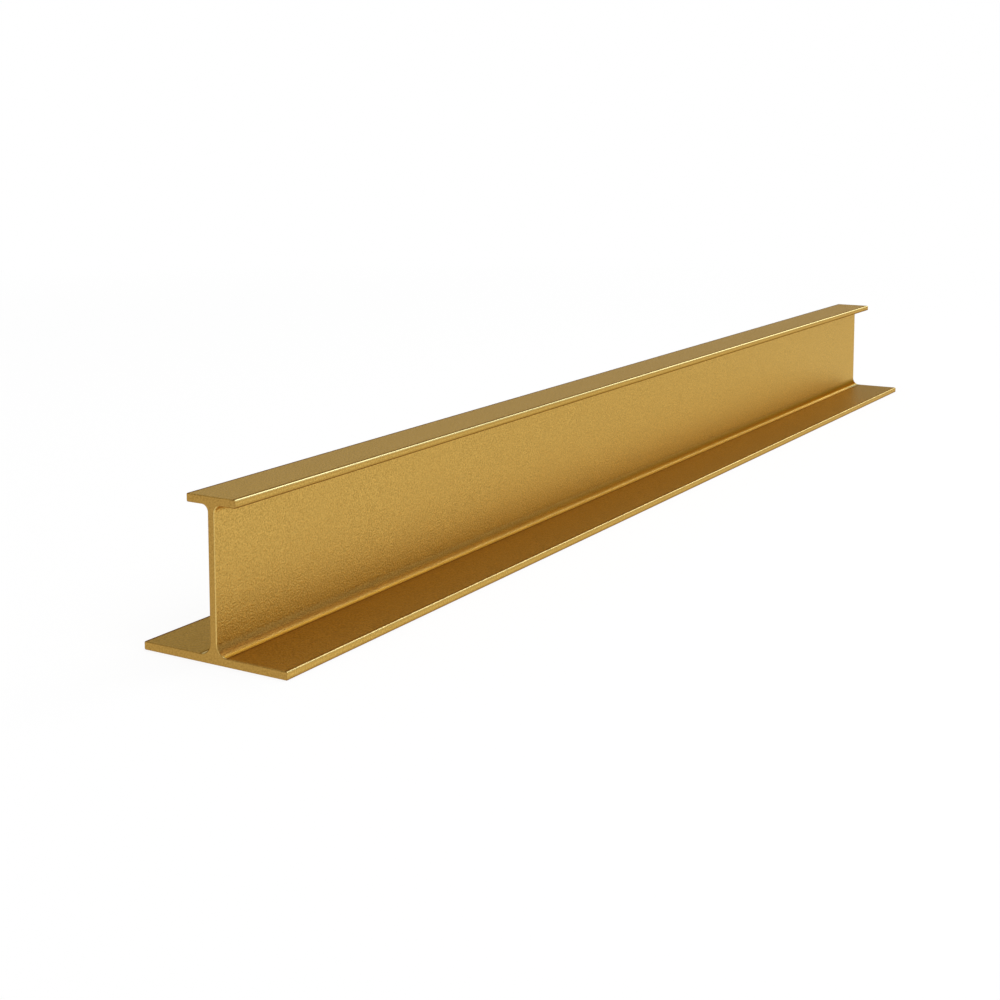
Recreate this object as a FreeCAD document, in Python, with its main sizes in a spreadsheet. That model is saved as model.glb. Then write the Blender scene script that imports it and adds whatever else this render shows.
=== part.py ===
"""Aluminium H-profile: one extruded bar with a wide base flange and a narrow top flange.

Frame: X runs along the bar, Z is up, and the origin is the middle of the underside.
"""

import os

import FreeCAD
import Part
import Sketcher

NODE = "h_profile"

# Driving dimensions in millimetres.
DIMENSIONS = {
    "length": 1000.0,
    "depth": 87.0,
    "base_width": 94.0,
    "top_width": 32.0,
    "web_thickness": 4.4,
    "flange_thickness": 4.6,
    "base_root_radius": 6.4,
    "top_root_radius": 4.0,
    "tip_radius": 0.9,
    "end_chamfer": 0.4,
}

# Distances from the centreline of the section, and heights above its underside.
BASE_TIP = "Sizes.base_width / 2"
TOP_TIP = "Sizes.top_width / 2"
WEB_FACE = "Sizes.web_thickness / 2"
UNDERSIDE = "0"
BASE_TOP = "Sizes.flange_thickness"
TOP_UNDERSIDE = "Sizes.depth - Sizes.flange_thickness"
TOP_FACE = "Sizes.depth"

# Square corners of the right half of the section, from the underside up.
RIGHT_HALF = (
    (BASE_TIP, UNDERSIDE),
    (BASE_TIP, BASE_TOP),
    (WEB_FACE, BASE_TOP),
    (WEB_FACE, TOP_UNDERSIDE),
    (TOP_TIP, TOP_UNDERSIDE),
    (TOP_TIP, TOP_FACE),
)
LEFT_HALF = tuple((f"-{across}", height) for across, height in reversed(RIGHT_HALF))

# Sketcher's numbers for the origin point and for the two ends of a line.
ORIGIN = -1
START = 1
END = 2

NEAR = 1e-4


def add_sizes(doc):
    """Put every driving dimension in a spreadsheet under its own alias."""
    sizes = doc.addObject("Spreadsheet::Sheet", "Sizes")
    for row, (name, value) in enumerate(DIMENSIONS.items(), start=1):
        sizes.set(f"A{row}", name)
        sizes.set(f"B{row}", str(value))
        sizes.setAlias(f"B{row}", name)
    doc.recompute()
    return sizes


def add_section(body, sizes):
    """Sketch the square-cornered section across the bar, every corner bound to the sizes."""
    sketch = body.newObject("Sketcher::SketchObject", "Section")
    plane = next(item for item in body.Origin.OriginFeatures if item.Role == "YZ_Plane")
    sketch.AttachmentSupport = (plane, [""])
    sketch.MapMode = "FlatFace"

    corners = RIGHT_HALF + LEFT_HALF
    points = [
        FreeCAD.Vector(sizes.evalExpression(across), sizes.evalExpression(height), 0)
        for across, height in corners
    ]
    for start, end in zip(points, points[1:] + points[:1]):
        sketch.addGeometry(Part.LineSegment(start, end))
    for line, (across, height) in enumerate(corners):
        following = (line + 1) % len(corners)
        sketch.addConstraint(Sketcher.Constraint("Coincident", line, END, following, START))
        bind(sketch, "DistanceX", line, points[line].x, across)
        bind(sketch, "DistanceY", line, points[line].y, height)
    return sketch


def bind(sketch, kind, line, value, expression):
    """Hold the start of a line at a distance from the origin given by an expression."""
    constraint = Sketcher.Constraint(kind, ORIGIN, START, line, START, value)
    index = sketch.addConstraint(constraint)
    sketch.setExpression(f"Constraints[{index}]", expression)


def add_bar(body, section):
    """Extrude the section along X, half of the length to each side of the origin."""
    bar = body.newObject("PartDesign::Pad", "Bar")
    bar.Profile = section
    bar.SideType = "Symmetric"
    bar.setExpression("Length", "Sizes.length")
    return bar


def long_edges(shape, sizes, corners):
    """Name the edges that run along the bar through these corners of the section."""
    places = [
        (sizes.evalExpression(across), sizes.evalExpression(height))
        for across, height in corners
    ]
    names = []
    for number, edge in enumerate(shape.Edges, start=1):
        start = edge.Vertexes[0].Point
        end = edge.Vertexes[-1].Point
        runs_along = abs(end.x - start.x) > NEAR
        at_corner = any(
            abs(start.y - across) < NEAR and abs(start.z - height) < NEAR
            for across, height in places
        )
        if runs_along and at_corner:
            names.append(f"Edge{number}")
    return names


def add_fillet(body, sizes, base, label, radius, corners):
    """Round the long edges at these corners with a radius of the spreadsheet."""
    fillet = body.newObject("PartDesign::Fillet", label)
    fillet.Base = (base, long_edges(base.Shape, sizes, corners))
    fillet.setExpression("Radius", f"Sizes.{radius}")
    body.Document.recompute()
    return fillet


def add_end_chamfer(body, base):
    """Break the sharp edges all round both cut ends."""
    half_length = base.Shape.BoundBox.XMax
    ends = [
        f"Face{number}"
        for number, face in enumerate(base.Shape.Faces, start=1)
        if abs(abs(face.CenterOfMass.x) - half_length) < NEAR
    ]
    chamfer = body.newObject("PartDesign::Chamfer", "EndChamfer")
    chamfer.Base = (base, ends)
    chamfer.setExpression("Size", "Sizes.end_chamfer")
    body.Document.recompute()
    return chamfer


def both_sides(*corners):
    """Add the mirror image of each corner on the other side of the centreline."""
    return corners + tuple((f"-{across}", height) for across, height in corners)


def add_profile(doc, sizes):
    """Build the whole bar as one body."""
    body = doc.addObject("PartDesign::Body", NODE)
    body.Label = NODE
    body.Placement = FreeCAD.Placement()
    bar = add_bar(body, add_section(body, sizes))
    doc.recompute()

    base_roots = both_sides((WEB_FACE, BASE_TOP))
    top_roots = both_sides((WEB_FACE, TOP_UNDERSIDE))
    tips = both_sides(
        (BASE_TIP, UNDERSIDE),
        (BASE_TIP, BASE_TOP),
        (TOP_TIP, TOP_UNDERSIDE),
        (TOP_TIP, TOP_FACE),
    )
    shape = add_fillet(body, sizes, bar, "BaseRoots", "base_root_radius", base_roots)
    shape = add_fillet(body, sizes, shape, "TopRoots", "top_root_radius", top_roots)
    shape = add_fillet(body, sizes, shape, "Tips", "tip_radius", tips)
    add_end_chamfer(body, shape)
    return body


def check(doc, body):
    """Stop on any object that failed to compute, and on a bad or missing solid."""
    for item in doc.Objects:
        if {"Invalid", "Error"} & set(item.State):
            raise RuntimeError(f"{item.Label} did not compute: {item.State}")
    if body.Shape.isNull() or not body.Shape.isValid():
        raise RuntimeError(f"{body.Label} has no valid shape")
    if len(body.Shape.Solids) != 1:
        raise RuntimeError(f"{body.Label} is not one solid")


def main():
    doc = FreeCAD.newDocument("HProfile")
    sizes = add_sizes(doc)
    body = add_profile(doc, sizes)
    doc.recompute()
    check(doc, body)
    os.makedirs("parts", exist_ok=True)
    body.Shape.exportStep(f"parts/{body.Label}.step")


main()
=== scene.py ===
"""Gold-anodised aluminium H-profile on a plain white floor, seen along the bar from one end."""

import math

import bmesh
import bpy
from mathutils import Euler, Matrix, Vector


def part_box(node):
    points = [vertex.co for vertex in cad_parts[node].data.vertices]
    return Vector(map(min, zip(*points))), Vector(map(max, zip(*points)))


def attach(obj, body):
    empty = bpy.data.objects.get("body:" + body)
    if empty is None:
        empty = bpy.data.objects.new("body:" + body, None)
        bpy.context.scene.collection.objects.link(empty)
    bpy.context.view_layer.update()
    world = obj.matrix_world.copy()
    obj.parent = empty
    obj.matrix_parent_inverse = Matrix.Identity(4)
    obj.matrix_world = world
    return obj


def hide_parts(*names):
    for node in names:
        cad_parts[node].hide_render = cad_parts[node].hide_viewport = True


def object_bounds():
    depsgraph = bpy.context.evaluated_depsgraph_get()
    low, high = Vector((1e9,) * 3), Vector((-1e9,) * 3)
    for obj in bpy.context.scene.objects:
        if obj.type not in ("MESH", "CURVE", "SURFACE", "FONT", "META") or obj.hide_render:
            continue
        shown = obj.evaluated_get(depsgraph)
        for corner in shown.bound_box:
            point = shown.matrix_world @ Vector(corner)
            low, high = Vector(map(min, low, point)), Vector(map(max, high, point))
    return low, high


NODE = "h_profile"

# Section details in metres. The overall sizes come from the frame.
TOP_WIDTH = 0.032
WEB_THICKNESS = 0.0044
FLANGE_THICKNESS = 0.0046
BASE_ROOT_RADIUS = 0.0064
TOP_ROOT_RADIUS = 0.0040
TIP_RADIUS = 0.0009
END_CHAMFER = 0.0004

# Fineness of the mesh: steps round each arc, distances from an arc to the two points on each flat
# beside it, distance from the chamfer to the ring inside it on the cut face, and bays along the bar.
TIP_STEPS = 6
ROOT_STEPS = 16
MARGINS = (0.0007, 0.0011)
CUT_MARGIN = 0.00015
BAYS = 20
SHARP_ANGLE = math.radians(30)

# Gold in linear light: the colour itself, its deepest and palest flecks, the pale painted highlight on
# its edges, the painted shade in its hollows and along its edges, and its tint at a glance.
GOLD = (0.62, 0.392, 0.096, 1)
GOLD_DEEP = (0.46, 0.286, 0.065, 1)
GOLD_PALE = (0.78, 0.505, 0.13, 1)
GOLD_PAINTED_HIGHLIGHT = (1.0, 0.88, 0.44, 1)
GOLD_SHADED = (0.26, 0.112, 0.022, 1)
GLANCE_TINT = (0.88, 0.78, 0.58, 1)
WHITE = (1, 1, 1, 1)

# Tones along each kind of rounded edge, in the order that half of the outline meets them on its way up:
# painted highlights and painted shade lines along the edges and roots. 1 is the plain film, 0 full
# painted shade, and 2 a full painted highlight, where the roughness is also lower. The first two and the
# last two tones lie on the flats beside the arc, and the rest on its points.
# Front upper edges carry a painted highlight with a painted shade line just behind it; back upper edges
# and lower edges carry painted shade lines.
FRONT_BASE_TIP = (1.0, 0.9, 0.9, 1.0, 1.3, 1.7, 1.6, 1.0, 0.5, 0.3, 0.8)
FRONT_TOP_TIP = (1.0, 0.8, 0.9, 1.6, 2.0, 2.0, 2.0, 1.5, 0.4, 0.0, 1.0)
BACK_BASE_TIP = (1.0, 0.9, 0.6, 0.4, 0.2, 0.1, 0.0, 0.0, 0.0, 0.0, 0.8)
BACK_TOP_TIP = (1.0, 0.9, 0.6, 0.4, 0.2, 0.1, 0.0, 0.0, 0.0, 0.0, 1.0)
LOWER_TIP = (1.0, 0.7, 0.3, 0.15, 0.1, 0.1, 0.15, 0.3, 0.6, 0.85, 1.0)
# The base root carries a painted highlight near its foot and painted shade above it; its outer flat tone
# of 0.8, like the last tone of the base tips, is painted shade over the base's upper face.
BASE_ROOT = (
    (0.8, 0.4)
    + (0.3, 1.5, 2.0, 2.0, 2.0, 1.2, 0.5, 0.2, 0.15, 0.15, 0.3, 0.35, 0.45, 0.55, 0.65, 0.75, 0.85)
    + (0.95, 1.0)
)
TOP_ROOT = (1.0,) * (ROOT_STEPS + 5)

# Tones of the cut ends: the cut face, darker than the film; the chamfer by the front of the web, a
# painted highlight; and the other chamfers, painted shade lines.
CUT_FACE = 0.55
WEB_CHAMFER = 1.25
CHAMFER = 0.3

# Noises of the blasted film, each a scale per metre and a detail, and the span that they fill.
PEBBLES = (1000, 1)
GRAIN = (2200, 1)
CLOUDS = (18, 2)
NOISE_SPAN = (0.3, 0.7)
PLAIN_SHARE = (0.1, 0.5)

# Roughness of the film and how far it drops under a painted highlight; bump strengths from plain film to
# full painted highlight, and depths.
ROUGHNESS = (0.35, 0.41)
POLISH_ON_ROUGHNESS = -0.16
FINE_STRENGTH = (0.5, 0.05)
FINE_DEPTH = 0.0002
COARSE_STRENGTH = (0.65, 0.05)
COARSE_DEPTH = 0.0005

# The floor's half width, and its glow, which grows with the distance from the bar.
FLOOR_HALF = 30
GLOW_DISTANCE = (0.6, 2.0)
GLOW_SHARE = (0.85, 1.0)

# The surroundings dim from the horizon to overhead: upward part of the direction, and strength.
DOME_RISE = (0.05, 0.30)
DOME_STRENGTH = (0.75, 0.38)

# Softboxes: place, target and size in metres, and power in watts.
SOFTBOXES = {
    "end_softbox": ((2.2, -0.9, 2.2), (0, 0, 0.05), 1.2, 9),
    "low_softbox": ((2.7, -0.4, 1.1), (0.5, 0, 0.05), 0.9, 5.0),
    "front_softbox": ((-1.0, -2.4, 2.6), (0, 0, 0.05), 2.0, 30),
    "overhead_softbox": ((0, 0, 3.0), (0, 0, 0), 3.0, 50),
}

# The camera: its place from the bar's near end in depths of the section, its turn in radians, and
# its lens in millimetres, shifted by a share of the sensor.
CAMERA_OFFSET = (-6.952, -6.054, 3.125)
CAMERA_YAW = 0.5347
CAMERA_PITCH = 0.1086
SENSOR_WIDTH = 36
FOCAL_LENGTH = 57.84
LENS_SHIFT = -0.2


def half_section(width, depth, base_tip, top_tip):
    """List the arcs of the +Y half, from the underside up: centre, radius, start, sweep, steps, tones."""
    base = width / 2 - TIP_RADIUS
    top = TOP_WIDTH / 2 - TIP_RADIUS
    web = WEB_THICKNESS / 2
    base_root = BASE_ROOT_RADIUS
    top_root = TOP_ROOT_RADIUS
    base_top = FLANGE_THICKNESS
    top_underside = depth - FLANGE_THICKNESS
    return [
        (base, TIP_RADIUS, TIP_RADIUS, -90, 90, TIP_STEPS, LOWER_TIP),
        (base, base_top - TIP_RADIUS, TIP_RADIUS, 0, 90, TIP_STEPS, base_tip),
        (web + base_root, base_top + base_root, base_root, 270, -90, ROOT_STEPS, BASE_ROOT),
        (web + top_root, top_underside - top_root, top_root, 180, -90, ROOT_STEPS, TOP_ROOT),
        (top, top_underside + TIP_RADIUS, TIP_RADIUS, -90, 90, TIP_STEPS, LOWER_TIP),
        (top, depth - TIP_RADIUS, TIP_RADIUS, 0, 90, TIP_STEPS, top_tip),
    ]


def section_arcs(width, depth):
    """List the arcs of the whole outline anticlockwise, up the back and down the front."""
    back = half_section(width, depth, BACK_BASE_TIP, BACK_TOP_TIP)
    front = [
        (-y, z, radius, 180 - start - sweep, sweep, steps, tones[::-1])
        for y, z, radius, start, sweep, steps, tones
        in reversed(half_section(width, depth, FRONT_BASE_TIP, FRONT_TOP_TIP))
    ]
    return back + front


def section_ring(arcs, inset):
    """List points (y, z, tone) of the outline moved in by the inset: tips shrink and roots widen."""
    near, far = MARGINS
    ring = []
    for y, z, radius, start, sweep, steps, tones in arcs:
        reach = radius - math.copysign(inset, sweep)
        turn = math.copysign(1, sweep)
        arc = []
        for step in range(steps + 1):
            angle = math.radians(start + sweep * step / steps)
            tone = tones[step + 2]
            arc.append((y + reach * math.cos(angle), z + reach * math.sin(angle), tone))
        before = beside(arc[0], start, -turn)
        after = beside(arc[-1], start + sweep, turn)
        ring += [before(far, tones[0]), before(near, tones[1])] + arc
        ring += [after(near, tones[-2]), after(far, tones[-1])]
    return ring


def beside(end, degrees, turn):
    """Return a function for points on the flat that meets the end of an arc at this angle."""
    along_y = -turn * math.sin(math.radians(degrees))
    along_z = turn * math.cos(math.radians(degrees))
    y, z, _ = end
    return lambda distance, tone: (y + distance * along_y, z + distance * along_z, tone)


def toned(ring, web, rest):
    """Give the outline one tone close to the front face of the web and another elsewhere."""
    return [(y, z, web if -WEB_THICKNESS < y < 0 else rest) for y, z, _ in ring]


def make_bar(low, high):
    """Sweep the section along the bar, with a fine chamfer round each cut end."""
    arcs = section_arcs(high.y - low.y, high.z - low.z)
    full = section_ring(arcs, 0)
    # The chamfer rings carry a painted highlight by the front of the web and painted shade lines
    # elsewhere; the cut face is darker than the film.
    rim = toned(section_ring(arcs, END_CHAMFER), WEB_CHAMFER, CHAMFER)
    cut = toned(section_ring(arcs, END_CHAMFER + CUT_MARGIN), CUT_FACE, CUT_FACE)
    start = low.x + END_CHAMFER
    span = high.x - low.x - 2 * END_CHAMFER
    stations = [(low.x, cut), (low.x, rim)]
    stations += [(start + span * bay / BAYS, full) for bay in range(BAYS + 1)]
    stations += [(high.x, rim), (high.x, cut)]

    mesh = bmesh.new()
    tone = mesh.verts.layers.float.new("tone")
    rings = []
    for x, outline in stations:
        ring = []
        for y, z, value in outline:
            vertex = mesh.verts.new((x, y, z))
            vertex[tone] = value
            ring.append(vertex)
        rings.append(ring)
    count = len(full)
    for ring, following in zip(rings, rings[1:]):
        for i in range(count):
            j = (i + 1) % count
            mesh.faces.new((ring[i], ring[j], following[j], following[i]))
    mesh.faces.new(reversed(rings[0]))
    mesh.faces.new(rings[-1])
    bmesh.ops.recalc_face_normals(mesh, faces=mesh.faces)

    data = bpy.data.meshes.new("bar")
    mesh.to_mesh(data)
    mesh.free()
    data.shade_smooth()
    data.set_sharp_from_angle(angle=SHARP_ANGLE)
    bar = bpy.data.objects.new("bar", data)
    bpy.context.scene.collection.objects.link(bar)
    weighted = bar.modifiers.new("flat_faces", "WEIGHTED_NORMAL")
    weighted.keep_sharp = True
    return bar


def noise(nodes, links, vector, scale, detail):
    """Add a noise texture on the given coordinates and return its value socket."""
    texture = nodes.new("ShaderNodeTexNoise")
    texture.inputs["Scale"].default_value = scale
    texture.inputs["Detail"].default_value = detail
    links.new(vector, texture.inputs["Vector"])
    return texture.outputs["Fac"]


def clamped(nodes, links, value, given, wanted):
    """Map a value from one span to another, and hold it at the ends."""
    spread = nodes.new("ShaderNodeMapRange")
    spread.inputs["From Min"].default_value, spread.inputs["From Max"].default_value = given
    spread.inputs["To Min"].default_value, spread.inputs["To Max"].default_value = wanted
    links.new(value, spread.inputs["Value"])
    return spread.outputs["Result"]


def calculated(nodes, links, operation, first, second):
    """Add a maths node on two sockets and return its value socket."""
    result = nodes.new("ShaderNodeMath")
    result.operation = operation
    links.new(first, result.inputs[0])
    links.new(second, result.inputs[1])
    return result.outputs["Value"]


def mix(nodes, links, factor, first, second):
    """Blend two colours, each a constant or another node's output."""
    blend = nodes.new("ShaderNodeMix")
    blend.data_type = "RGBA"
    links.new(factor, blend.inputs["Factor"])
    for name, colour in (("A", first), ("B", second)):
        if isinstance(colour, tuple):
            blend.inputs[name].default_value = colour
        else:
            links.new(colour, blend.inputs[name])
    return blend.outputs["Result"]


def bump(nodes, links, height, strength, distance):
    """Add a bump node of this strength socket and depth, and return it."""
    relief = nodes.new("ShaderNodeBump")
    relief.inputs["Distance"].default_value = distance
    links.new(strength, relief.inputs["Strength"])
    links.new(height, relief.inputs["Height"])
    return relief


def anodised_gold():
    """Fine-blasted satin metal with a dyed gold film, with painted highlights and painted shade along its
    rounded edges and in its hollows.
    """
    material = bpy.data.materials.new("gold_anodised_aluminium")
    material.use_nodes = True
    nodes = material.node_tree.nodes
    links = material.node_tree.links
    shader = nodes["Principled BSDF"]
    shader.inputs["Metallic"].default_value = 1.0
    place = nodes.new("ShaderNodeTexCoord").outputs["Object"]

    pebbles = noise(nodes, links, place, *PEBBLES)
    grain = noise(nodes, links, place, *GRAIN)
    clouds = noise(nodes, links, place, *CLOUDS)
    # The tone attribute paints shade below 1 and a highlight above 1; above 1 it also lowers roughness
    # and softens the bumps.
    tone = nodes.new("ShaderNodeAttribute")
    tone.attribute_name = "tone"
    shade = clamped(nodes, links, tone.outputs["Fac"], (0, 1), (0, 1))
    highlight_and_polish = clamped(nodes, links, tone.outputs["Fac"], (1, 2), (0, 1))

    paleness = clamped(nodes, links, pebbles, NOISE_SPAN, (0, 1))
    plainness = clamped(nodes, links, clouds, NOISE_SPAN, PLAIN_SHARE)
    flecks = mix(nodes, links, paleness, GOLD_DEEP, GOLD_PALE)
    film = mix(nodes, links, plainness, flecks, GOLD)
    # Painted highlight: pale gold where the tone rises above 1; painted shade: the shaded colour where it
    # falls below 1.
    edges = mix(nodes, links, highlight_and_polish, film, GOLD_PAINTED_HIGHLIGHT)
    shaded = mix(nodes, links, shade, GOLD_SHADED, edges)
    links.new(shaded, shader.inputs["Base Color"])
    # The painted shade also dims the specular tint towards the shaded colour, so shaded edges stay dark
    # at a glance.
    glance = mix(nodes, links, shade, GOLD_SHADED, GLANCE_TINT)
    links.new(glance, shader.inputs["Specular Tint"])

    satin = clamped(nodes, links, grain, NOISE_SPAN, ROUGHNESS)
    polish = nodes.new("ShaderNodeMath")
    polish.operation = "MULTIPLY_ADD"
    polish.inputs[1].default_value = POLISH_ON_ROUGHNESS
    links.new(highlight_and_polish, polish.inputs[0])
    links.new(satin, polish.inputs[2])
    links.new(polish.outputs["Value"], shader.inputs["Roughness"])

    fine_strength = clamped(nodes, links, highlight_and_polish, (0, 1), FINE_STRENGTH)
    fine = bump(nodes, links, grain, fine_strength, FINE_DEPTH)
    coarse_strength = clamped(nodes, links, highlight_and_polish, (0, 1), COARSE_STRENGTH)
    coarse = bump(nodes, links, pebbles, coarse_strength, COARSE_DEPTH)
    links.new(fine.outputs["Normal"], coarse.inputs["Normal"])
    links.new(coarse.outputs["Normal"], shader.inputs["Normal"])
    return material


def seen_directly_or_mirrored(nodes, links):
    """Return 1 for camera, glossy and transmission rays, and 0 for the rest."""
    rays = nodes.new("ShaderNodeLightPath").outputs
    seen = calculated(nodes, links, "MAXIMUM", rays["Is Camera Ray"], rays["Is Glossy Ray"])
    return calculated(nodes, links, "MAXIMUM", seen, rays["Is Transmission Ray"])


def white_floor():
    """Matt white that looks white to the camera and in the metal, and still takes a shadow."""
    material = bpy.data.materials.new("white_floor")
    material.use_nodes = True
    nodes = material.node_tree.nodes
    links = material.node_tree.links
    nodes.remove(nodes["Principled BSDF"])
    matt = nodes.new("ShaderNodeBsdfDiffuse")
    matt.inputs["Color"].default_value = WHITE
    glow = nodes.new("ShaderNodeEmission")
    glow.inputs["Strength"].default_value = 1.0
    distance = nodes.new("ShaderNodeVectorMath")
    distance.operation = "LENGTH"
    links.new(nodes.new("ShaderNodeTexCoord").outputs["Object"], distance.inputs[0])
    brightness = clamped(nodes, links, distance.outputs["Value"], GLOW_DISTANCE, GLOW_SHARE)
    seen = seen_directly_or_mirrored(nodes, links)
    surface = nodes.new("ShaderNodeMixShader")
    links.new(calculated(nodes, links, "MULTIPLY", seen, brightness), surface.inputs["Fac"])
    links.new(matt.outputs["BSDF"], surface.inputs[1])
    links.new(glow.outputs["Emission"], surface.inputs[2])
    links.new(surface.outputs["Shader"], nodes["Material Output"].inputs["Surface"])
    return material


def make_floor(level):
    """Lay a wide square floor at this height."""
    half = FLOOR_HALF
    corners = [(-half, -half, level), (half, -half, level), (half, half, level), (-half, half, level)]
    data = bpy.data.meshes.new("floor")
    data.from_pydata(corners, [], [(0, 1, 2, 3)])
    data.materials.append(white_floor())
    floor = bpy.data.objects.new("floor", data)
    bpy.context.scene.collection.objects.link(floor)


def make_world():
    """White to the camera; for the rest, white low down that falls to soft grey overhead."""
    world = bpy.data.worlds.new("studio")
    bpy.context.scene.world = world
    world.use_nodes = True
    nodes = world.node_tree.nodes
    links = world.node_tree.links
    studio = nodes["Background"]
    studio.inputs["Color"].default_value = WHITE
    direction = nodes.new("ShaderNodeSeparateXYZ")
    links.new(nodes.new("ShaderNodeTexCoord").outputs["Generated"], direction.inputs["Vector"])
    strength = clamped(nodes, links, direction.outputs["Z"], DOME_RISE, DOME_STRENGTH)
    links.new(strength, studio.inputs["Strength"])
    backdrop = nodes.new("ShaderNodeBackground")
    backdrop.inputs["Color"].default_value = WHITE
    choose = nodes.new("ShaderNodeMixShader")
    links.new(nodes.new("ShaderNodeLightPath").outputs["Is Camera Ray"], choose.inputs["Fac"])
    links.new(studio.outputs["Background"], choose.inputs[1])
    links.new(backdrop.outputs["Background"], choose.inputs[2])
    links.new(choose.outputs["Shader"], nodes["World Output"].inputs["Surface"])


def make_softbox(name, place, target, size, power):
    """Hang a square softbox that faces the target."""
    lamp = bpy.data.lights.new(name, "AREA")
    lamp.size = size
    lamp.energy = power
    box = bpy.data.objects.new(name, lamp)
    box.location = place
    box.rotation_euler = (Vector(target) - Vector(place)).to_track_quat("-Z", "Y").to_euler()
    bpy.context.scene.collection.objects.link(box)


def make_camera(low, high):
    """Stand beyond the near end, a little above the bar, with the lens shifted down."""
    lens = bpy.data.cameras.new("camera")
    lens.sensor_width = SENSOR_WIDTH
    lens.lens = FOCAL_LENGTH
    lens.shift_y = LENS_SHIFT
    camera = bpy.data.objects.new("camera", lens)
    near_end = Vector((low.x, 0, low.z))
    camera.location = near_end + Vector(CAMERA_OFFSET) * (high.z - low.z)
    camera.rotation_euler = Euler((math.pi / 2 - CAMERA_PITCH, 0, CAMERA_YAW - math.pi / 2))
    bpy.context.scene.collection.objects.link(camera)
    bpy.context.scene.camera = camera


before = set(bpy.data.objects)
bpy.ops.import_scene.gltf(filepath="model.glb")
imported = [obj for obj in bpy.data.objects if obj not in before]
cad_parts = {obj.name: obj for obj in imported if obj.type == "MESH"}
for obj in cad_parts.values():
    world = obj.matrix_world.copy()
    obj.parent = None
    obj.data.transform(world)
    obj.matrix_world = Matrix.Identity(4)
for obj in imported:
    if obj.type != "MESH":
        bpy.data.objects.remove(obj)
cad_low, cad_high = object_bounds()

bar = make_bar(*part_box(NODE))
bar.data.materials.append(anodised_gold())
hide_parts(NODE)
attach(bar, "root")

make_floor(cad_low.z)
make_world()
for name, (place, target, size, power) in SOFTBOXES.items():
    make_softbox(name, place, target, size, power)
make_camera(cad_low, cad_high)

bpy.context.scene.view_settings.view_transform = "Standard"
